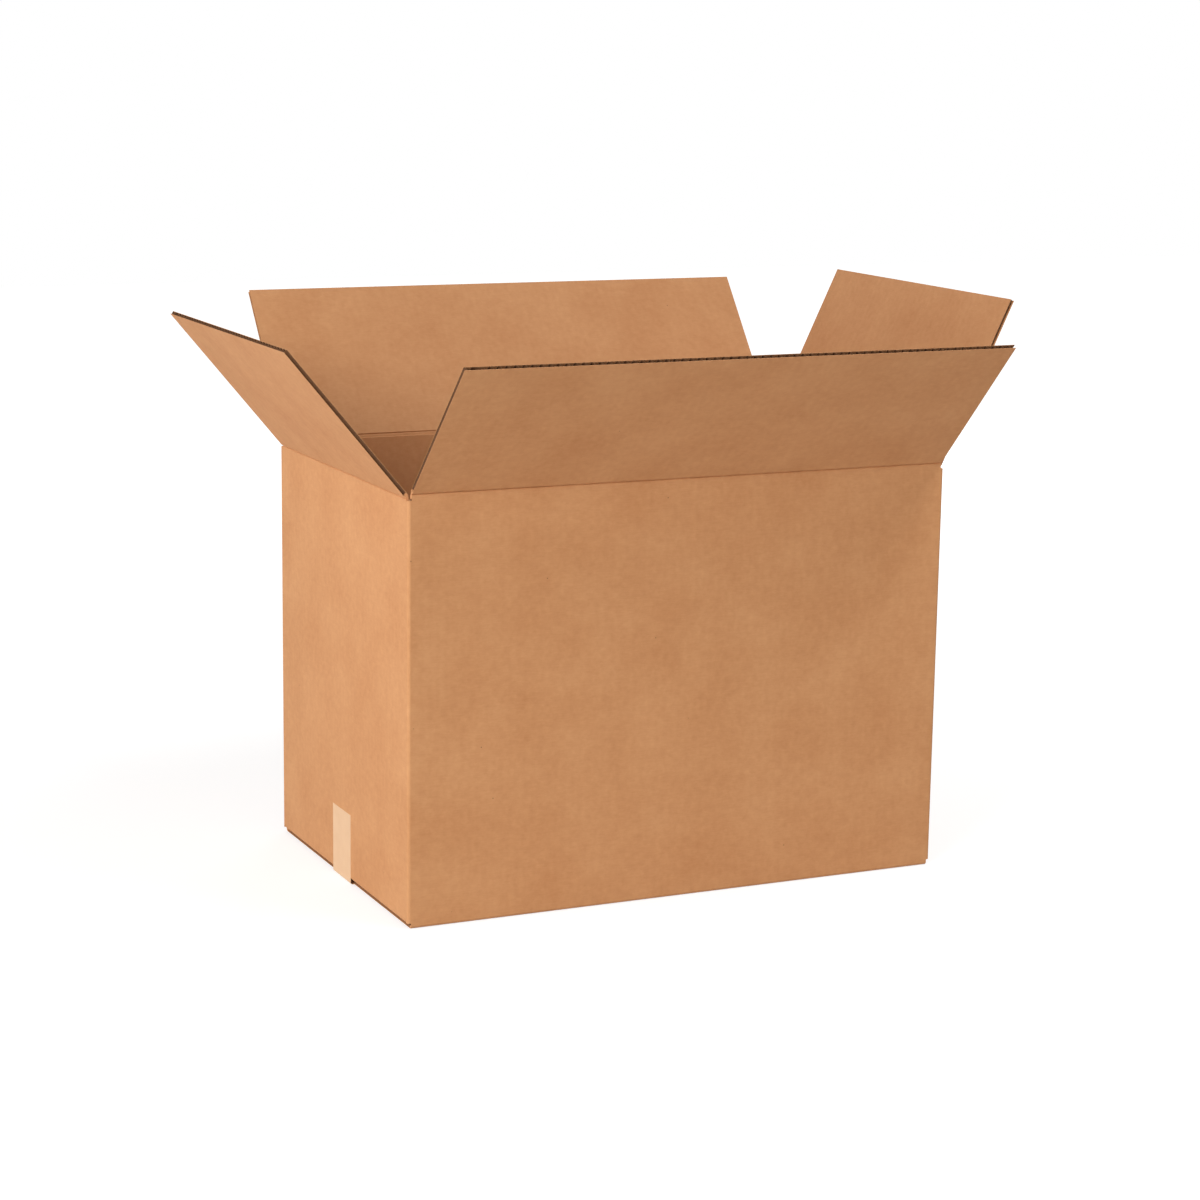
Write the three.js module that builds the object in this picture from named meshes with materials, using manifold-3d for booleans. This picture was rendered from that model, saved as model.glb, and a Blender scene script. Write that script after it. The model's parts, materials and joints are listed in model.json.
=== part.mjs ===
// A corrugated shipping carton that stands open: a regular slotted container folded from one blank, taped shut at
// the bottom, with its four top flaps free on their score lines.
// Millimetres, +Z up. The origin is the centre of the underside, the front wall faces -Y and the left end wall -X.
import * as THREE from 'three';
import { mergeVertices } from 'three/addons/utils/BufferGeometryUtils.js';
import Module from 'manifold-3d';

const wasm = await Module();
wasm.setup();

// The carton, measured outside
const length = 558.8;
const width = 355.6;
const height = 406.4; // from the underside of the bottom flaps to the front and back score lines

// The board and its folds
const board = 4; // C-flute
const foldRadius = 3; // outside of a folded edge
const foldGap = 0.3; // air between boards that lie on each other
const meetingGap = 2; // between the edges of the long flaps when they meet
const longSlotInset = 3.5; // half the slot, taken from the front and back flaps
const shortSlotInset = 5.5; // half the slot, taken from the end flaps, which fold inside
const slotOverrun = 1; // how far a slot runs past the score line
const cornerOverlap = 1; // how far a corner and the walls beside it run into each other

// The score lines of the top flaps
const hingeOffset = 0.2; // the axis lies this far outside the wall's outer face
const scoreAngle = THREE.MathUtils.degToRad(47); // slope of each side of the groove

// How far each top flap leans outward as it stands, from upright
const frontLean = THREE.MathUtils.degToRad(44.5);
const leftLean = THREE.MathUtils.degToRad(40);
const backLean = THREE.MathUtils.degToRad(38.5);
const rightLean = THREE.MathUtils.degToRad(25.5);

// The glued tab inside the back right corner
const tabReach = 32;
const tabTaper = 9;
const tabEndGap = 6; // clear of the score line above and of the bottom flap below

// The tape along the bottom seam
const tapeWidth = 50;
const tapeThickness = 0.2;
const tapeRise = 70; // up each end wall, from the underside
const tapeBend = 2; // inside radius where it turns up

const arcSteps = 6;
const cutMargin = 1; // how far a cut runs past the solid

// What follows from the sizes above
const longUnder = tapeThickness; // underside of the front and back bottom flaps
const shortUnder = longUnder + board + foldGap; // the end flaps lie on them
const longScore = tapeThickness + height;
const shortScore = longScore - board - foldGap; // the end flaps close under the others
const flapReach = (width - meetingGap) / 2; // from the wall's outer face to the edge of a folded flap
const longRun = length - 2 * longSlotInset;
const shortRun = width - 2 * shortSlotInset;
const endWallRun = shortRun + 2 * cornerOverlap;
const cornerReachX = longSlotInset + cornerOverlap;
const cornerReachY = shortSlotInset - foldGap; // clear of the end flap as it shuts
const cornerBottom = shortUnder + slotOverrun;
const cornerTop = shortScore - slotOverrun;

const kraft = new THREE.MeshStandardMaterial({ name: 'kraft board', color: 0xb98a5c, roughness: 0.85, metalness: 0 });
const buffTape = new THREE.MeshStandardMaterial({ name: 'buff tape', color: 0xe8c49a, roughness: 0.4, metalness: 0 });

// Each wall is drawn as the front one and turned about Z: x along the wall, y inward from its outer face, z up.
const longSide = { out: width / 2, run: longRun, wallRun: longRun, under: longUnder, score: longScore };
const shortSide = { out: length / 2, run: shortRun, wallRun: endWallRun, under: shortUnder, score: shortScore };
const walls = {
  front: { ...longSide, turn: 0, lean: frontLean },
  right: { ...shortSide, turn: Math.PI / 2, lean: rightLean },
  back: { ...longSide, turn: Math.PI, lean: backLean },
  left: { ...shortSide, turn: -Math.PI / 2, lean: leftLean },
};

// The rise of the groove's side at a depth below the outer face
function grooveRise(depth) {
  return (depth + hingeOffset) * Math.tan(scoreAngle);
}

// A closed outline in x and y, drawn up along Z
function prism(points, low, high) {
  const geometry = new THREE.ExtrudeGeometry(new THREE.Shape(points), { depth: high - low, bevelEnabled: false });
  return geometry.translate(0, 0, low);
}

// A closed outline in y and z, drawn along X about the middle
function strip(points, run) {
  const geometry = new THREE.ExtrudeGeometry(new THREE.Shape(points), { depth: run, bevelEnabled: false });
  const axes = new THREE.Matrix4().makeBasis(
    new THREE.Vector3(0, 1, 0),
    new THREE.Vector3(0, 0, 1),
    new THREE.Vector3(1, 0, 0),
  );
  return geometry.translate(0, 0, -run / 2).applyMatrix4(axes);
}

// Points of a quarter turn or less, from one angle to another
function arc(x, y, radius, from, to) {
  const points = [];
  for (let i = 0; i <= arcSteps; i += 1) {
    const angle = from + ((to - from) * i) / arcSteps;
    points.push(new THREE.Vector2(x + radius * Math.cos(angle), y + radius * Math.sin(angle)));
  }
  return points;
}

function toManifold(geometry) {
  const bare = geometry.clone();
  bare.deleteAttribute('normal');
  bare.deleteAttribute('uv');
  const merged = mergeVertices(bare);
  const mesh = new wasm.Mesh({
    numProp: 3,
    vertProperties: new Float32Array(merged.attributes.position.array),
    triVerts: new Uint32Array(merged.index.array),
  });
  return new wasm.Manifold(mesh);
}

function toGeometry(solid) {
  const mesh = solid.getMesh();
  const geometry = new THREE.BufferGeometry();
  geometry.setAttribute('position', new THREE.BufferAttribute(mesh.vertProperties, 3));
  geometry.setIndex(new THREE.BufferAttribute(mesh.triVerts, 1));
  return geometry;
}

// A wall and its bottom flap, folded from one panel: flat underside, round fold, groove side at the top
function panel({ turn, out, run, wallRun, under, score }) {
  const heel = board + cornerOverlap; // how far the wall's foot runs into the bottom flap
  const wall = [
    new THREE.Vector2(heel, under),
    new THREE.Vector2(heel, under + board),
    new THREE.Vector2(board, under + board),
    new THREE.Vector2(board, score - grooveRise(board)),
    new THREE.Vector2(0, score - grooveRise(0)),
    ...arc(foldRadius, under + foldRadius, foldRadius, Math.PI, 1.5 * Math.PI),
  ];
  const bottomFlap = [
    new THREE.Vector2(board, under),
    new THREE.Vector2(flapReach, under),
    new THREE.Vector2(flapReach, under + board),
    new THREE.Vector2(board, under + board),
  ];
  return [strip(wall, wallRun), strip(bottomFlap, run)].map((g) => g.translate(0, -out, 0).rotateZ(turn));
}

// The rounded fold between two walls, from the bottom slot to the top slot
function foldedCorner(alongX, alongY) {
  const corner = [
    new THREE.Vector2(cornerReachX, 0),
    new THREE.Vector2(cornerReachX, board),
    new THREE.Vector2(board, board),
    new THREE.Vector2(board, cornerReachY),
    new THREE.Vector2(0, cornerReachY),
    ...arc(foldRadius, foldRadius, foldRadius, Math.PI, 1.5 * Math.PI),
  ];
  const place = (p) => new THREE.Vector2(alongX * (length / 2 - p.x), alongY * (width / 2 - p.y));
  return prism(corner.map(place), cornerBottom, cornerTop);
}

// The glued corner: the back wall's cut edge is flush with the right wall's face
function gluedCorner() {
  const corner = [
    new THREE.Vector2(0, 0),
    new THREE.Vector2(cornerReachX, 0),
    new THREE.Vector2(cornerReachX, board),
    new THREE.Vector2(board, board),
    new THREE.Vector2(board, cornerReachY),
    new THREE.Vector2(0, cornerReachY),
  ];
  const place = (p) => new THREE.Vector2(length / 2 - p.x, width / 2 - p.y);
  return prism(corner.map(place), cornerBottom, cornerTop);
}

// What is missing where the right wall folds in under that cut edge
function gluedCornerNotch() {
  const bend = arc(foldRadius, board + foldRadius, foldRadius, Math.PI, 1.4 * Math.PI);
  const outline = [
    new THREE.Vector2(-cutMargin, board + foldRadius),
    ...bend,
    new THREE.Vector2(bend[arcSteps].x, board),
    new THREE.Vector2(-cutMargin, board),
  ];
  const place = (p) => new THREE.Vector2(length / 2 - p.x, width / 2 - p.y);
  return prism(outline.map(place), shortUnder - cutMargin, shortScore + cutMargin);
}

// The tab lies against the inside of the back wall, with sloping ends
function glueTab() {
  const near = board / 2; // inside the right wall's thickness
  const far = board + tabReach;
  const low = shortUnder + board + tabEndGap;
  const high = shortScore - grooveRise(board) - tabEndGap;
  const outline = [
    new THREE.Vector2(near, low),
    new THREE.Vector2(near, high),
    new THREE.Vector2(far, high - tabTaper),
    new THREE.Vector2(far, low + tabTaper),
  ];
  const place = (p) => new THREE.Vector2(length / 2 - p.x, p.y);
  const geometry = prism(outline.map(place), 0, 1.5 * board);
  return geometry.rotateX(Math.PI / 2).translate(0, width / 2 - board / 2, 0);
}

function cartonBody() {
  const pieces = [
    ...Object.values(walls).flatMap(panel),
    foldedCorner(-1, -1),
    foldedCorner(-1, 1),
    foldedCorner(1, -1),
    gluedCorner(),
    glueTab(),
  ];
  const whole = pieces.map(toManifold).reduce((sum, piece) => sum.add(piece));
  const solid = whole.subtract(toManifold(gluedCornerNotch()));
  const mesh = new THREE.Mesh(toGeometry(solid), kraft);
  mesh.name = 'carton_body';
  return mesh;
}

// A top flap about its score line: its lower edge is the other side of the groove
function topFlap(name) {
  const { turn, out, run, score, lean } = walls[name];
  const inner = hingeOffset + board;
  const tip = flapReach + hingeOffset;
  const outline = [
    new THREE.Vector2(hingeOffset, grooveRise(0)),
    new THREE.Vector2(inner, grooveRise(board)),
    new THREE.Vector2(inner, tip),
    new THREE.Vector2(hingeOffset, tip),
  ];
  const mesh = new THREE.Mesh(strip(outline, run), kraft);
  mesh.name = `${name}_flap`;
  mesh.position.set(0, -out - hingeOffset, score);
  mesh.rotation.x = lean;
  const side = new THREE.Group();
  side.rotation.z = turn;
  side.add(mesh);
  return side;
}

// One strip of tape along the seam, turned up against both end walls
function bottomTape() {
  const inside = length / 2;
  const outside = inside + tapeThickness;
  const outerBend = tapeBend + tapeThickness;
  const centre = inside - tapeBend;
  const outline = [
    new THREE.Vector2(-outside, tapeRise),
    ...arc(-centre, outerBend, outerBend, Math.PI, 1.5 * Math.PI),
    ...arc(centre, outerBend, outerBend, 1.5 * Math.PI, 2 * Math.PI),
    new THREE.Vector2(outside, tapeRise),
    new THREE.Vector2(inside, tapeRise),
    ...arc(centre, outerBend, tapeBend, 2 * Math.PI, 1.5 * Math.PI),
    ...arc(-centre, outerBend, tapeBend, 1.5 * Math.PI, Math.PI),
    new THREE.Vector2(-inside, tapeRise),
  ];
  const geometry = prism(outline, -tapeWidth / 2, tapeWidth / 2).rotateX(Math.PI / 2);
  const mesh = new THREE.Mesh(geometry, buffTape);
  mesh.name = 'bottom_tape';
  return mesh;
}

const carton = new THREE.Group();
carton.name = 'corrugated_box';
carton.add(cartonBody(), bottomTape());
carton.add(...Object.keys(walls).map(topFlap));

export default carton;
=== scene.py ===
import json
import math

import bpy
from mathutils import Matrix, Vector


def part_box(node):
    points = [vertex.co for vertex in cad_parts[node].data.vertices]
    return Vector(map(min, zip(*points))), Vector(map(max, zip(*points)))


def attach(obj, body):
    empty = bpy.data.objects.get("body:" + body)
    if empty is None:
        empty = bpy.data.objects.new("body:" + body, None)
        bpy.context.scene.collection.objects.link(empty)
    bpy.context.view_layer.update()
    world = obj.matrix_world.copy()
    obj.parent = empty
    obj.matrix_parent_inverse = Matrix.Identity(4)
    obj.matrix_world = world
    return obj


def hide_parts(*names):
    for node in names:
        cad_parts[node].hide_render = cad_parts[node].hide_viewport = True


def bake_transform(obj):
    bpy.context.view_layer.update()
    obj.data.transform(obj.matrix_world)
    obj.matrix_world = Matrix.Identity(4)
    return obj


# A corrugated carton, standing open. All sizes are in metres, in the frame's own place.
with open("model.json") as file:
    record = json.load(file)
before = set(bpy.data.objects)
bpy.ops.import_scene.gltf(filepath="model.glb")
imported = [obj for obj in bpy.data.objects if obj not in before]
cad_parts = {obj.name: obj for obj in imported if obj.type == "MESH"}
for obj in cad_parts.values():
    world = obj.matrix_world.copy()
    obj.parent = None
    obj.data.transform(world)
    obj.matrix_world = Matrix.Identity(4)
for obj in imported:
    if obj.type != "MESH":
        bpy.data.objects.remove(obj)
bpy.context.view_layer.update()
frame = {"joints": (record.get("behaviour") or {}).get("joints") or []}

mm = 0.001
near = 0.1 * mm  # points closer than this to a place are taken to be at it
weld = 0.01 * mm  # and points closer than this to each other are one
bodyLow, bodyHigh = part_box("carton_body")
tapeLow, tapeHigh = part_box("bottom_tape")
joints = {joint["child"]: joint for joint in frame["joints"]}

# Single-wall board: two liners with a wavy medium glued between them
board = {
    "thickness": 4 * mm,  # C-flute
    "liner": 0.3 * mm,
    "medium": 0.22 * mm,
    "flutePitch": 7.95 * mm,
    "fluteSteps": 12,  # straight steps in one wave
    "fluteRows": 4,  # faces up the height of a wave
    "linerFaces": (24, 8),  # along and up a liner
    "fluteSmooth": 50,  # degrees: sharper edges than this stay sharp
    "foldSmooth": 40,
    "foldRadius": 3 * mm,  # outside of a folded edge
    "foldGap": 0.3 * mm,  # air between boards that lie on each other
    "slotOverrun": 1 * mm,  # how far a slot runs past the score line
    "cornerOverlap": 1 * mm,  # how far the end walls run on into the corners
    "meetingGap": 2 * mm,  # between flaps that meet
}


def sideOf(name, turn, axis):
    flapLow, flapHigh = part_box(name + "_flap")
    hinge = Vector(joints[name + "_flap"]["pos_m"])
    size = bodyHigh - bodyLow
    return {
        "name": name,
        "turn": math.radians(turn),  # each side is made as the front one, then turned about Z
        "run": (flapHigh - flapLow)[axis],
        "out": size[1 - axis] / 2,  # from the middle to the wall's outer face
        "half": size[axis] / 2,
        "score": hinge.z,
        "hingeOut": Vector((hinge.x, hinge.y)).length,
        "lean": math.radians(-joints[name + "_flap"]["range_deg"][0] - 90),
        "under": bodyLow.z if axis == 0 else bodyLow.z + board["thickness"] + board["foldGap"],
    }


sides = [
    sideOf("front", 0, 0),
    sideOf("right", 90, 1),
    sideOf("back", 180, 0),
    sideOf("left", 270, 1),
]
front, right, back, left = sides
flapReach = front["out"] - board["meetingGap"] / 2
cornerTop = left["score"] - board["slotOverrun"]
cornerBottom = left["under"] + board["slotOverrun"]
print("frame loaded, walls", round(2 * front["half"], 4), "by", round(2 * front["out"], 4))


# Picking, turning and joining, as by hand
def clearPicks():
    if bpy.context.object and bpy.context.object.mode != "OBJECT":
        bpy.ops.object.mode_set(mode="OBJECT")
    bpy.ops.object.select_all(action="DESELECT")


def pick(*pieces):
    clearPicks()
    for piece in pieces:
        piece.select_set(True)
    bpy.context.view_layer.objects.active = pieces[0]


def applyPlace(piece):
    pick(piece)
    bpy.ops.object.transform_apply(location=True, rotation=True, scale=True)


def moveTo(piece, location=(0, 0, 0), rotation=(0, 0, 0)):
    piece.location = location
    piece.rotation_euler = rotation
    applyPlace(piece)


def applyModifier(piece, kind, **settings):
    pick(piece)
    bpy.ops.object.modifier_add(type=kind)
    modifier = piece.modifiers[-1]
    for name, value in settings.items():
        setattr(modifier, name, value)
    bpy.ops.object.modifier_apply(modifier=modifier.name)


def selectPoints(piece, test):
    pick(piece)
    bpy.ops.object.mode_set(mode="EDIT")
    bpy.ops.mesh.select_mode(type="VERT")
    bpy.ops.mesh.select_all(action="DESELECT")
    bpy.ops.object.mode_set(mode="OBJECT")
    for point in piece.data.vertices:
        point.select = test(point.co)
    bpy.ops.object.mode_set(mode="EDIT")


def editWhole(piece):
    pick(piece)
    bpy.ops.object.mode_set(mode="EDIT")
    bpy.ops.mesh.select_all(action="SELECT")


def joined(name, pieces):
    pick(*pieces)
    bpy.ops.object.join()
    piece = bpy.context.object
    piece.name = name
    piece.data.name = name
    return piece


def addGrid(columns, rows, size, location, rotation=(0, 0, 0)):
    clearPicks()
    bpy.ops.mesh.primitive_grid_add(
        x_subdivisions=columns, y_subdivisions=rows, size=1, location=location, rotation=rotation)
    grid = bpy.context.object
    grid.scale = (*size, 1)
    applyPlace(grid)
    return grid


# Materials
def linear(hexColour):
    parts = [int(hexColour[i:i + 2], 16) / 255 for i in (1, 3, 5)]
    return [c / 12.92 if c <= 0.04045 else ((c + 0.055) / 1.055) ** 2.4 for c in parts] + [1]


def addNode(tree, kind, settings=None, inputs=None):
    node = tree.nodes.new(kind)
    for name, value in (settings or {}).items():
        setattr(node, name, value)
    for name, value in (inputs or {}).items():
        if isinstance(value, bpy.types.NodeSocket):
            tree.links.new(value, node.inputs[name])
        else:
            node.inputs[name].default_value = value
    return node


def newMaterial(name):
    material = bpy.data.materials.new(name)
    material.use_nodes = True
    tree = material.node_tree
    tree.nodes.clear()
    return material, tree


# Kraft linerboard: unbleached softwood fibre pressed on a wire. It gives the eye a dull tan with cloudy
# patches, short fibres, a few bark specks and the faint ribs of the flutes behind it.
linerLook = {
    "light": "#D9A06E",
    "dark": "#C38655",
    "speck": "#7A5333",
    "insidePaintedShade": 0.86,  # painted shade: the liner inside the carton is a darker copy that stands in for the shade inside it
    "patchSize": 60 * mm,
    "cloudSize": 7 * mm,
    "fibreWidth": 0.9 * mm,  # real ones are 0.04 mm: drawn this coarse so that they show
    "fibreLength": 7 * mm,
    "speckSpacing": 30 * mm,
    "speckSize": 0.7 * mm,
    "speckCore": 0.6,  # share of a speck that is at full strength
    "speckStrength": 0.8,
    "tones": {"patches": 0.9, "clouds": 0.8, "fibres": 0.35, "ribs": 0.03},  # how much each darkens
    "toneShift": -0.5,  # brings the sum back to between light and dark
    "ribDepth": 0.008 * mm,
    "cockleDepth": 0.25 * mm,  # slow waves where the board took up damp
    "cockleSize": 90 * mm,
    "cloudDepth": 0.02 * mm,
    "roughness": 0.82,
    "ior": 1.5,
}


# a shade below 1 makes a darker copy of the liner's colours, used as painted shade for the carton's
# inside
def kraftLiner(name, ribsAlong, shade=1):
    look, tones = linerLook, linerLook["tones"]
    material, tree = newMaterial(name)
    place = addNode(tree, "ShaderNodeTexCoord").outputs["Object"]
    patches = addNode(tree, "ShaderNodeTexNoise", inputs={
        "Vector": place, "Scale": 1 / look["patchSize"], "Detail": 2, "Roughness": 0.5})
    clouds = addNode(tree, "ShaderNodeTexNoise", inputs={
        "Vector": place, "Scale": 1 / look["cloudSize"], "Detail": 3, "Roughness": 0.6})
    across, along = 1 / look["fibreWidth"], 1 / look["fibreLength"]
    fibreScale = (along, across, across) if ribsAlong == "X" else (across, along, across)
    stretched = addNode(tree, "ShaderNodeMapping", inputs={"Vector": place, "Scale": fibreScale})
    fibres = addNode(tree, "ShaderNodeTexNoise", inputs={
        "Vector": stretched.outputs[0], "Scale": 1, "Detail": 1})
    cockle = addNode(tree, "ShaderNodeTexNoise", inputs={
        "Vector": place, "Scale": 1 / look["cockleSize"], "Detail": 0})
    bandSpacing = math.pi / 10  # of a wave texture at scale 1
    ribs = addNode(tree, "ShaderNodeTexWave", {"bands_direction": ribsAlong}, {
        "Vector": place, "Scale": bandSpacing / board["flutePitch"]})
    specks = addNode(tree, "ShaderNodeTexVoronoi", inputs={
        "Vector": place, "Scale": 1 / look["speckSpacing"], "Randomness": 1})
    speckEdge = look["speckSize"] / look["speckSpacing"]
    speckMask = addNode(tree, "ShaderNodeMapRange", {"clamp": True}, {
        "Value": specks.outputs["Distance"], "From Min": speckEdge * look["speckCore"],
        "From Max": speckEdge, "To Min": look["speckStrength"], "To Max": 0})
    tone = addNode(tree, "ShaderNodeMath", {"operation": "MULTIPLY_ADD"}, {
        0: patches.outputs["Fac"], 1: tones["patches"], 2: look["toneShift"]})
    toneClouds = addNode(tree, "ShaderNodeMath", {"operation": "MULTIPLY_ADD"}, {
        0: clouds.outputs["Fac"], 1: tones["clouds"], 2: tone.outputs[0]})
    toneFibres = addNode(tree, "ShaderNodeMath", {"operation": "MULTIPLY_ADD"}, {
        0: fibres.outputs["Fac"], 1: tones["fibres"], 2: toneClouds.outputs[0]})
    toneRibs = addNode(tree, "ShaderNodeMath", {"operation": "MULTIPLY_ADD", "use_clamp": True}, {
        0: ribs.outputs["Fac"], 1: tones["ribs"], 2: toneFibres.outputs[0]})
    light = [c * shade for c in linear(look["light"])[:3]] + [1]
    dark = [c * shade for c in linear(look["dark"])[:3]] + [1]
    paper = addNode(tree, "ShaderNodeMix", {"data_type": "RGBA"}, {
        0: toneRibs.outputs[0], 6: light, 7: dark})
    colour = addNode(tree, "ShaderNodeMix", {"data_type": "RGBA"}, {
        0: speckMask.outputs[0], 6: paper.outputs[2], 7: linear(look["speck"])})
    ribHeight = addNode(tree, "ShaderNodeMath", {"operation": "MULTIPLY"}, {
        0: ribs.outputs["Fac"], 1: look["ribDepth"]})
    cloudHeight = addNode(tree, "ShaderNodeMath", {"operation": "MULTIPLY_ADD"}, {
        0: clouds.outputs["Fac"], 1: look["cloudDepth"], 2: ribHeight.outputs[0]})
    height = addNode(tree, "ShaderNodeMath", {"operation": "MULTIPLY_ADD"}, {
        0: cockle.outputs["Fac"], 1: look["cockleDepth"], 2: cloudHeight.outputs[0]})
    bump = addNode(tree, "ShaderNodeBump", inputs={
        "Strength": 1, "Distance": 1, "Height": height.outputs[0]})
    paperShader = addNode(tree, "ShaderNodeBsdfPrincipled", inputs={
        "Base Color": colour.outputs[2], "Roughness": look["roughness"], "IOR": look["ior"],
        "Normal": bump.outputs[0]})
    addNode(tree, "ShaderNodeOutputMaterial", inputs={"Surface": paperShader.outputs[0]})
    return material


# Fluting medium: thin semichemical hardwood paper, a little browner than the liners, with loose fibres
# where it is cut. Its colour is painted much darker than the paper, as painted shade for the open flutes
# at the cut edges
mediumLook = {
    # light and dark: the paper's own browner colour, darkened much further as painted shade
    "light": "#7D5535",
    "dark": "#4C311B",
    "fuzzSize": 1.5 * mm,
    "roughness": 0.9,
    "ior": 1.5,
}


def flutingMedium():
    look = mediumLook
    material, tree = newMaterial("fluting medium with painted shade")
    place = addNode(tree, "ShaderNodeTexCoord").outputs["Object"]
    fuzz = addNode(tree, "ShaderNodeTexNoise", inputs={
        "Vector": place, "Scale": 1 / look["fuzzSize"], "Detail": 3})
    colour = addNode(tree, "ShaderNodeMix", {"data_type": "RGBA"}, {
        0: fuzz.outputs["Fac"], 6: linear(look["light"]), 7: linear(look["dark"])})
    shader = addNode(tree, "ShaderNodeBsdfPrincipled", inputs={
        "Base Color": colour.outputs[2], "Roughness": look["roughness"], "IOR": look["ior"]})
    addNode(tree, "ShaderNodeOutputMaterial", inputs={"Surface": shader.outputs[0]})
    return material


# Packing tape: buff polypropylene film on acrylic adhesive, cast smooth, which gives the eye a soft satin
# shine with a few slow wrinkles
tapeLook = {
    "light": "#E8BE90",
    "dark": "#DFB181",
    "cloudSize": 14 * mm,
    "wrinkleSize": 9 * mm,
    "wrinkleDepth": 0.04 * mm,
    "roughness": 0.34,
    "ior": 1.49,
}


def tapeFilm():
    look = tapeLook
    material, tree = newMaterial("buff polypropylene tape")
    place = addNode(tree, "ShaderNodeTexCoord").outputs["Object"]
    clouds = addNode(tree, "ShaderNodeTexNoise", inputs={
        "Vector": place, "Scale": 1 / look["cloudSize"], "Detail": 2})
    wrinkles = addNode(tree, "ShaderNodeTexNoise", inputs={
        "Vector": place, "Scale": 1 / look["wrinkleSize"], "Detail": 1})
    height = addNode(tree, "ShaderNodeMath", {"operation": "MULTIPLY"}, {
        0: wrinkles.outputs["Fac"], 1: look["wrinkleDepth"]})
    bump = addNode(tree, "ShaderNodeBump", inputs={
        "Strength": 1, "Distance": 1, "Height": height.outputs[0]})
    colour = addNode(tree, "ShaderNodeMix", {"data_type": "RGBA"}, {
        0: clouds.outputs["Fac"], 6: linear(look["light"]), 7: linear(look["dark"])})
    shader = addNode(tree, "ShaderNodeBsdfPrincipled", inputs={
        "Base Color": colour.outputs[2], "Roughness": look["roughness"], "IOR": look["ior"],
        "Normal": bump.outputs[0]})
    addNode(tree, "ShaderNodeOutputMaterial", inputs={"Surface": shader.outputs[0]})
    return material


linerLong = kraftLiner("kraft liner, ribs across the long sides", "X")
linerEnd = kraftLiner("kraft liner, ribs across the end walls", "Y")
# the inside liners are darker copies of the same liner: painted shade for the inside of the carton
linerLongInsideShaded = kraftLiner("kraft inside liner, painted shade, long sides", "X", linerLook["insidePaintedShade"])
linerEndInsideShaded = kraftLiner("kraft inside liner, painted shade, end walls", "Y", linerLook["insidePaintedShade"])
fluting = flutingMedium()
film = tapeFilm()
print("materials made")


# Board. It is made upright: x along the panel, y from the outer face inward, z up.
def addLiner(run, depth, low, high, material):
    middle = (0, depth, (low + high) / 2)
    liner = addGrid(*board["linerFaces"], (run, high - low), middle, (math.pi / 2, 0, 0))
    applyModifier(liner, "SOLIDIFY", thickness=board["liner"], offset=0)
    liner.data.materials.append(material)
    return liner


def addFlutes(run, low, high):
    waves = round(run / board["flutePitch"])
    pitch = run / waves
    steps = board["fluteSteps"]
    middle = ((pitch - run) / 2, board["thickness"] / 2, (low + high) / 2)
    wave = addGrid(steps, board["fluteRows"], (pitch, high - low), middle, (math.pi / 2, 0, 0))
    swing = board["thickness"] / 2 - board["liner"] - board["medium"] / 2
    for i in range(steps + 1):
        column = pitch * i / steps - run / 2
        selectPoints(wave, lambda co: abs(co.x - column) < near)
        bpy.ops.transform.translate(value=(0, swing * math.cos(2 * math.pi * i / steps), 0))
    applyModifier(wave, "ARRAY", count=waves, use_relative_offset=False, use_constant_offset=True,
                  constant_offset_displace=(pitch, 0, 0), use_merge_vertices=True)
    applyModifier(wave, "SOLIDIFY", thickness=board["medium"], offset=0)
    wave.data.materials.append(fluting)
    bpy.ops.object.shade_smooth_by_angle(angle=math.radians(board["fluteSmooth"]))
    return wave


def addBoard(run, outerSpan, coreSpan, innerSpan, liners):
    half = board["liner"] / 2
    outer = addLiner(run, half, *outerSpan, liners[0])
    inner = addLiner(run, board["thickness"] - half, *innerSpan, liners[1])
    flutes = addFlutes(run, *coreSpan)
    return joined("board", [outer, inner, flutes])


# A fold: the board's section swept round the bend, its core crushed solid
foldShape = {
    "steps": 8,
    "leg": 0.5 * mm,  # straight part between the bend and the boards
    "crushed": 2.8 * mm,  # thickness of the board where it is folded
}


def addSection(run, middle, across, material):
    section = addGrid(1, 1, (run, across), middle)
    section.data.materials.append(material)
    return section


def extrudeEnd(move):
    bpy.ops.mesh.extrude_region_move(TRANSFORM_OT_translate={"value": move})


def closeSolid(piece):
    bpy.ops.mesh.select_all(action="SELECT")
    bpy.ops.mesh.remove_doubles(threshold=weld)
    bpy.ops.mesh.normals_make_consistent(inside=False)
    pick(piece)
    bpy.ops.object.shade_smooth_by_angle(angle=math.radians(board["foldSmooth"]))


def bottomFold(side, material):
    thick, radius, leg = foldShape["crushed"], board["foldRadius"], foldShape["leg"]
    top = side["under"] + radius + leg
    section = addSection(side["run"], (0, thick / 2, top), thick, material)
    editWhole(section)
    extrudeEnd((0, 0, -leg))
    bpy.ops.mesh.spin(steps=foldShape["steps"], angle=-math.pi / 2, dupli=False,
                      center=(0, radius, side["under"] + radius), axis=(1, 0, 0))
    extrudeEnd((0, leg, 0))
    closeSolid(section)
    return section


def sideLiners(side):
    return (linerLong, linerLongInsideShaded) if side in (front, back) else (linerEnd, linerEndInsideShaded)


# The carton below the top score lines
wallCut = {
    "outer": 3 * mm,  # how far below the score line each layer of the wall gives way to the crease
    "core": 4 * mm,
    "inner": 4.5 * mm,
}

# The tab glued inside the back right corner
tab = {
    "reach": 32 * mm,
    "taper": 9 * mm,
    "endGap": 6 * mm,  # clear of the score line above and of the bottom flap below
}
tabFoldIn = board["thickness"] + board["foldRadius"] + foldShape["leg"]


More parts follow.
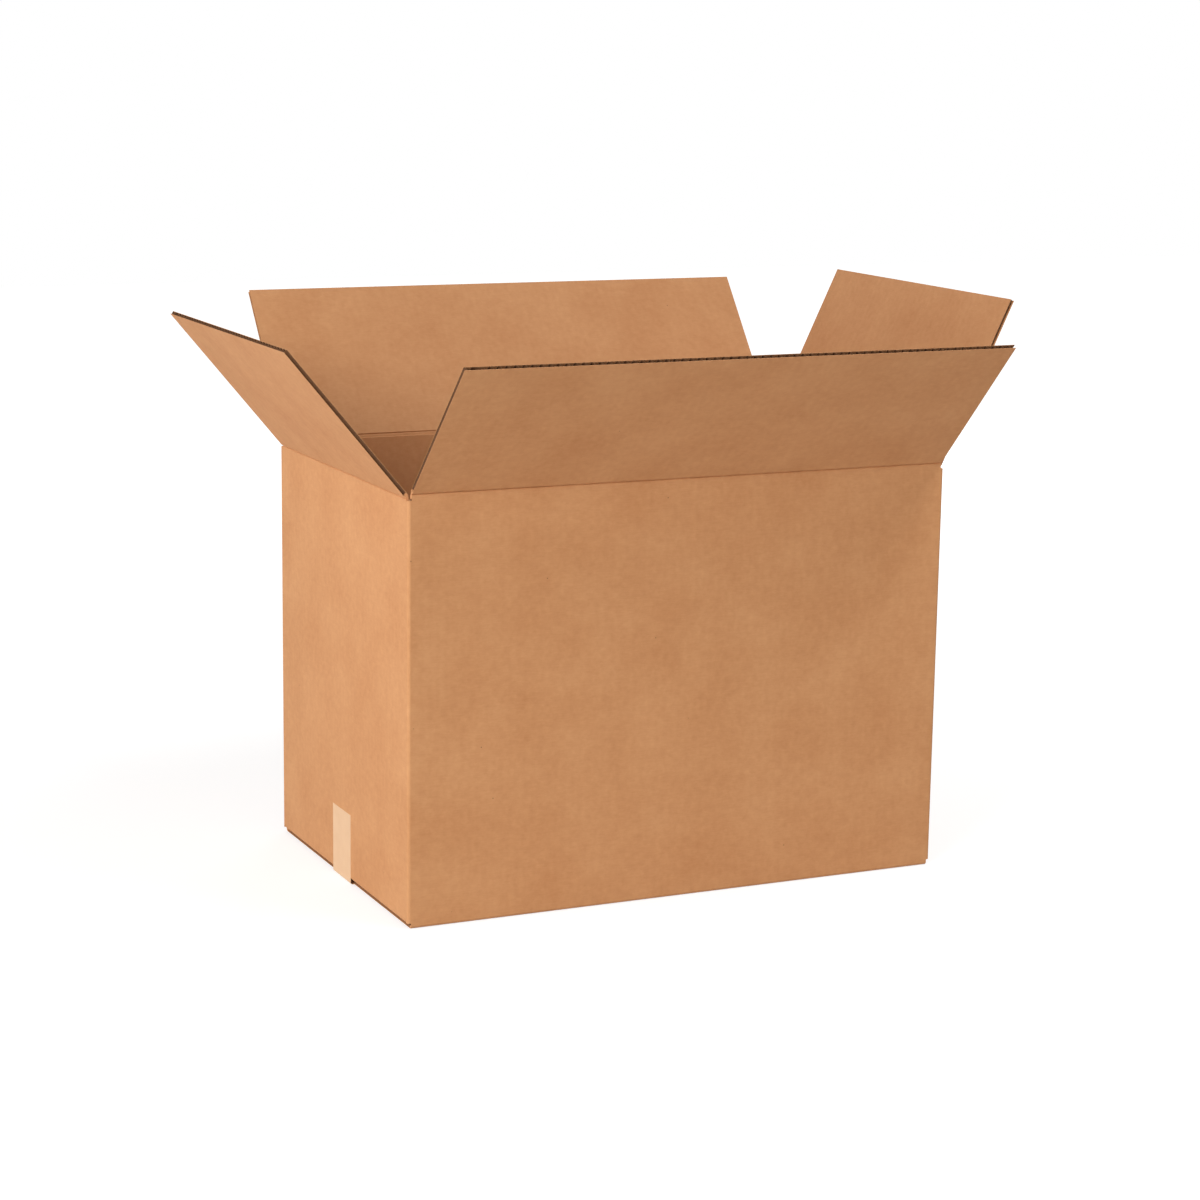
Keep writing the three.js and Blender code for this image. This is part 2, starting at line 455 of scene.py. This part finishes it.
def wallEnds(side):
    reach = side["run"] / 2
    if side is back:
        return -side["half"], reach  # its cut edge is flush with the right wall's face
    if side is right:
        return -reach - board["cornerOverlap"], side["half"] - tabFoldIn
    if side is left:
        return -reach - board["cornerOverlap"], reach + board["cornerOverlap"]
    return -reach, reach


def wallBoard(side):
    foot = side["under"] + board["foldRadius"] + foldShape["leg"]
    spans = [(foot, side["score"] - wallCut[layer]) for layer in ("outer", "core", "inner")]
    start, end = wallEnds(side)
    wall = addBoard(end - start, *spans, sideLiners(side))
    moveTo(wall, ((start + end) / 2, 0, 0))
    return wall


def bottomFlap(side):
    heel = board["foldRadius"] + foldShape["leg"]
    spans = [(heel, flapReach)] * 3
    flap = addBoard(side["run"], *spans, sideLiners(side))
    moveTo(flap, (0, 0, side["under"]), (math.pi / 2, 0, math.pi))
    return flap


def cornerFold(turn, hand, inset=0, endLeg=None):
    thick, radius = foldShape["crushed"], board["foldRadius"]
    longLeg = front["half"] - front["run"] / 2 - radius
    if endLeg is None:
        endLeg = left["half"] - left["run"] / 2 - board["cornerOverlap"] - radius
    cornerX, cornerY = hand * front["half"], inset - front["out"]
    middle = (cornerX - hand * (radius + longLeg), cornerY + thick / 2, (cornerTop + cornerBottom) / 2)
    section = addGrid(1, 1, (cornerTop - cornerBottom, thick), middle, (0, math.pi / 2, 0))
    section.data.materials.append(linerEnd)
    editWhole(section)
    extrudeEnd((hand * longLeg, 0, 0))
    bpy.ops.mesh.spin(steps=foldShape["steps"], angle=-hand * math.pi / 2, dupli=False,
                      center=(cornerX - hand * radius, cornerY + radius, 0), axis=(0, 0, 1))
    extrudeEnd((0, endLeg, 0))
    closeSolid(section)
    moveTo(section, rotation=(0, 0, turn))
    return section


def glueTab():
    root = back["run"] / 2
    run = root - (back["half"] - board["thickness"] - tab["reach"])
    low = right["under"] + board["thickness"] + tab["endGap"]
    high = right["score"] - wallCut["inner"] - tab["endGap"]
    piece = addBoard(run, *[(low, high)] * 3, sideLiners(back))
    slope = math.atan(tab["taper"] / run)
    for end, turn in ((high, -slope), (low, slope)):
        corner = (-run / 2, 0, end)
        selectPoints(piece, lambda co: abs(co.z - end) < near)
        bpy.ops.transform.rotate(value=turn, orient_axis="Y", center_override=corner)
        bpy.ops.transform.resize(value=(1 / math.cos(slope), 1, 1), center_override=corner)
    moveTo(piece, (run / 2 - root, board["thickness"] - back["out"], 0))
    moveTo(piece, rotation=(0, 0, back["turn"]))
    return piece


cartonParts = []
for side in sides:
    for piece in (wallBoard(side), bottomFlap(side), bottomFold(side, sideLiners(side)[0])):
        moveTo(piece, (0, -side["out"], 0))
        moveTo(piece, rotation=(0, 0, side["turn"]))
        cartonParts.append(piece)
cartonParts += [cornerFold(0, -1), cornerFold(0, 1), cornerFold(math.pi, 1)]
cartonParts += [glueTab(), cornerFold(math.pi, -1, board["thickness"], foldShape["leg"])]
carton = joined("carton_board", cartonParts)
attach(carton, "carton")
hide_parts("carton_body")
print("carton made")


# Top flaps
def topFlap(side):
    name = side["name"] + "_flap"
    hingeGap = side["hingeOut"] - side["out"]
    tip = flapReach + hingeGap
    spans = [(wallCut[layer], tip) for layer in ("outer", "core", "inner")]
    flap = addBoard(side["run"], *spans, sideLiners(side))
    moveTo(flap, (0, hingeGap, 0))
    moveTo(flap, (0, -side["hingeOut"], side["score"]), (side["lean"], 0, 0))
    moveTo(flap, rotation=(0, 0, side["turn"]))
    flap.name = name + "_board"
    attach(flap, name)
    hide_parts(name)


# The pressed score lines that the top flaps turn on
crease = {
    "dentDepth": 1.3 * mm,
    "dentHalfWidth": 1 * mm,
    "crush": 1.3 * mm,  # how much thinner the board is at the bend, taken from its inside
    "steps": 6,
    "insideFrom": 2.5 * mm,  # faces further than this from the axis are the inside liner
    "cutEnd": 0.5,  # unless they look along the crease by more than this share
}


def topCrease(side):
    thick = board["thickness"]
    hingeGap = side["hingeOut"] - side["out"]
    outside, inside = sideLiners(side)
    section = addSection(side["run"], (0, thick / 2, side["score"] - wallCut["outer"]), thick, outside)
    section.data.materials.append(inside)
    flat = wallCut["outer"] - crease["dentHalfWidth"]
    editWhole(section)
    extrudeEnd((0, 0, flat))
    extrudeEnd((0, 0, crease["dentHalfWidth"]))
    bpy.ops.mesh.spin(steps=crease["steps"], angle=-side["lean"], dupli=False,
                      center=(0, -hingeGap, side["score"]), axis=(1, 0, 0))
    up = Vector((0, -math.sin(side["lean"]), math.cos(side["lean"])))
    extrudeEnd(up * crease["dentHalfWidth"])
    extrudeEnd(up * flat)
    # the inner edges reach further than the outer ones, so that the flap can shut
    reach = wallCut["inner"] - wallCut["outer"]
    axis = Vector((0, -hingeGap, side["score"]))
    inwards = Vector((0, math.cos(side["lean"]), math.sin(side["lean"])))
    atWall = side["score"] - wallCut["outer"]
    selectPoints(section, lambda co: co.y > thick - near and abs(co.z - atWall) < near)
    bpy.ops.transform.translate(value=(0, 0, -reach))
    selectPoints(section, lambda co: (co - axis).dot(up) > wallCut["outer"] - near
                 and (co - axis).dot(inwards) > thick - near)
    bpy.ops.transform.translate(value=up * reach)
    # the rule's mark, pressed in along the outer face, and the crushed inside of the bend
    middle = (inwards + Vector((0, 1, 0))).normalized()
    across = thick + hingeGap
    selectPoints(section, lambda co: (Vector((0, co.y, co.z)) - axis).length < 2 * hingeGap)
    bpy.ops.transform.translate(value=middle * crease["dentDepth"])
    selectPoints(section, lambda co: abs((Vector((0, co.y, co.z)) - axis).length - across) < near)
    bpy.ops.transform.translate(value=-middle * crease["crush"])
    closeSolid(section)
    for face in section.data.polygons:
        fromAxis = (Vector((0, face.center.y, face.center.z)) - axis).length
        if fromAxis > crease["insideFrom"] and abs(face.normal.x) < crease["cutEnd"]:
            face.material_index = 1
    moveTo(section, (0, -side["out"], 0))
    moveTo(section, rotation=(0, 0, side["turn"]))
    section.name = side["name"] + "_flap_crease"
    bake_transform(section)


for side in sides:
    topFlap(side)
    topCrease(side)
print("top flaps and creases made")


# The tape along the bottom seam, torn off on a toothed blade at both ends
tape = {
    "thickness": 0.2 * mm,
    "bend": 2 * mm,  # inside radius where it turns up
    "bendSteps": 8,
    "tooth": 2 * mm,
    "toothDepth": 0.7 * mm,
}


def bottomTape():
    across = tapeHigh.y - tapeLow.y
    teeth = round(across / tape["tooth"])
    inside = front["half"]
    turnRadius = tape["bend"] + tape["thickness"]
    middle = (-inside - tape["thickness"] / 2, 0, tapeHigh.z)
    strip = addGrid(1, 2 * teeth, (tape["thickness"], across), middle)
    strip.data.materials.append(film)
    editWhole(strip)
    extrudeEnd((0, 0, turnRadius - tapeHigh.z))
    bpy.ops.mesh.spin(steps=tape["bendSteps"], angle=math.pi / 2, dupli=False,
                      center=(tape["bend"] - inside, 0, turnRadius), axis=(0, 1, 0))
    extrudeEnd((2 * (inside - tape["bend"]), 0, 0))
    bpy.ops.mesh.spin(steps=tape["bendSteps"], angle=math.pi / 2, dupli=False,
                      center=(inside - tape["bend"], 0, turnRadius), axis=(0, 1, 0))
    extrudeEnd((0, 0, tapeHigh.z - turnRadius))
    spacing = across / teeth / 2
    selectPoints(strip, lambda co: co.z > tapeHigh.z - near
                 and round((co.y - tapeLow.y) / spacing) % 2 == 1)
    bpy.ops.transform.translate(value=(0, 0, -tape["toothDepth"]))
    closeSolid(strip)
    strip.name = "bottom_tape_film"
    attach(strip, "carton")
    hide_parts("bottom_tape")


bottomTape()
print("tape made")

# Camera, from the photograph's corners
view = {
    "location": (-1.2061, -2.5802, 0.8352),
    "heading": 24.95,  # degrees to the right of +Y
    "pitch": 11.48,  # degrees below level
    "roll": 0.83,
    "lens": 87.2,
    "sensor": 36,
    "nearest": 0.05,  # metres
}
clearPicks()
bpy.ops.object.camera_add(location=view["location"])
camera = bpy.context.object
camera.data.lens = view["lens"]
camera.data.sensor_width = view["sensor"]
turnMatrix = Matrix.Rotation(math.radians(-view["heading"]), 3, "Z")
tiltMatrix = Matrix.Rotation(math.radians(90 - view["pitch"]), 3, "X")
rollMatrix = Matrix.Rotation(math.radians(view["roll"]), 3, "Z")
camera.rotation_euler = (turnMatrix @ tiltMatrix @ rollMatrix).to_euler()
camera.data.clip_start = view["nearest"]
bpy.context.scene.camera = camera

# Floor, a pale sky and soft lights
studio = {
    "floorSeen": "#C0C0C0",  # what the camera and reflections see
    "floorBounce": "#D0CECB",  # what it throws back on the carton
    "floorSize": 12,
    "floorDrop": 0.1 * mm,  # below the carton, so that the two don't share a plane
    "floorGlow": (0.64, 0.88),  # near and far: makes it look as white as the backdrop, and lights nothing
    "glowReach": (0.5, 3.5),  # how far from the carton's middle near and far are
    "floorRoughness": 0.9,
    "skyStrength": 0.56,  # along the horizon
    "skyDimming": (-0.25, 0, -0.4),  # less to the right and overhead
}
softLights = {  # each lamp's place, size and energy in watts
    "high": ((-2.2, -1.7, 1.45), (1.1, 1), 42),
    "left": ((-2.6, -0.4, 0.3), (2.4, 0.55), 13),
    "top": ((0.75, -0.8, 2.3), (1.2, 0.8), 22),
    "back": ((1.7, 2.6, 1.2), (1.6, 1), 16),
}


def cameraOrMirror(tree):
    rays = addNode(tree, "ShaderNodeLightPath")
    seen = addNode(tree, "ShaderNodeMath", {"operation": "MAXIMUM"}, {
        0: rays.outputs["Is Camera Ray"], 1: rays.outputs["Is Glossy Ray"]})
    through = addNode(tree, "ShaderNodeMath", {"operation": "MAXIMUM"}, {
        0: seen.outputs[0], 1: rays.outputs["Is Transmission Ray"]})
    return through.outputs[0]


floor = addGrid(1, 1, (studio["floorSize"], studio["floorSize"]), (0, 0, -studio["floorDrop"]))
floor.name = "floor"
floorMaterial, floorTree = newMaterial("matt white studio paper")
floorColour = addNode(floorTree, "ShaderNodeMix", {"data_type": "RGBA"}, {
    0: cameraOrMirror(floorTree), 6: linear(studio["floorBounce"]), 7: linear(studio["floorSeen"])})
floorPlace = addNode(floorTree, "ShaderNodeTexCoord").outputs["Object"]
floorDistance = addNode(floorTree, "ShaderNodeVectorMath", {"operation": "LENGTH"}, {0: floorPlace})
fill = addNode(floorTree, "ShaderNodeMapRange", inputs={
    "Value": floorDistance.outputs["Value"],
    "From Min": studio["glowReach"][0], "From Max": studio["glowReach"][1],
    "To Min": studio["floorGlow"][0], "To Max": studio["floorGlow"][1]})
floorGlow = addNode(floorTree, "ShaderNodeMath", {"operation": "MULTIPLY"}, {
    0: cameraOrMirror(floorTree), 1: fill.outputs["Result"]})
floorPaint = addNode(floorTree, "ShaderNodeBsdfPrincipled", inputs={
    "Base Color": floorColour.outputs[2], "Roughness": studio["floorRoughness"],
    "Emission Color": (1, 1, 1, 1), "Emission Strength": floorGlow.outputs[0]})
addNode(floorTree, "ShaderNodeOutputMaterial", inputs={"Surface": floorPaint.outputs[0]})
floor.data.materials.append(floorMaterial)

world = bpy.data.worlds.new("studio")
bpy.context.scene.world = world
world.use_nodes = True
skyTree = world.node_tree
skyTree.nodes.clear()
direction = addNode(skyTree, "ShaderNodeTexCoord").outputs["Generated"]
dimming = addNode(skyTree, "ShaderNodeVectorMath", {"operation": "DOT_PRODUCT"}, {
    0: direction, 1: studio["skyDimming"]})
skyLight = addNode(skyTree, "ShaderNodeMath", {"operation": "ADD"}, {
    0: dimming.outputs["Value"], 1: studio["skyStrength"]})
strength = addNode(skyTree, "ShaderNodeMapRange", inputs={
    "Value": cameraOrMirror(skyTree), "To Min": skyLight.outputs[0], "To Max": 1})
sky = addNode(skyTree, "ShaderNodeBackground", inputs={
    "Color": (1, 1, 1, 1), "Strength": strength.outputs[0]})
addNode(skyTree, "ShaderNodeOutputWorld", inputs={"Surface": sky.outputs[0]})

for name, (place, size, energy) in softLights.items():
    clearPicks()
    bpy.ops.object.light_add(type="AREA", location=place)
    lamp = bpy.context.object
    lamp.name = name + "_light"
    lamp.data.energy = energy
    lamp.data.shape = "RECTANGLE"
    lamp.data.size, lamp.data.size_y = size
    aim = Vector((0, 0, (bodyHigh.z + tapeLow.z) / 2)) - Vector(place)
    lamp.rotation_euler = aim.to_track_quat("-Z", "Y").to_euler()

bpy.context.scene.view_settings.view_transform = "Standard"
print("studio made")
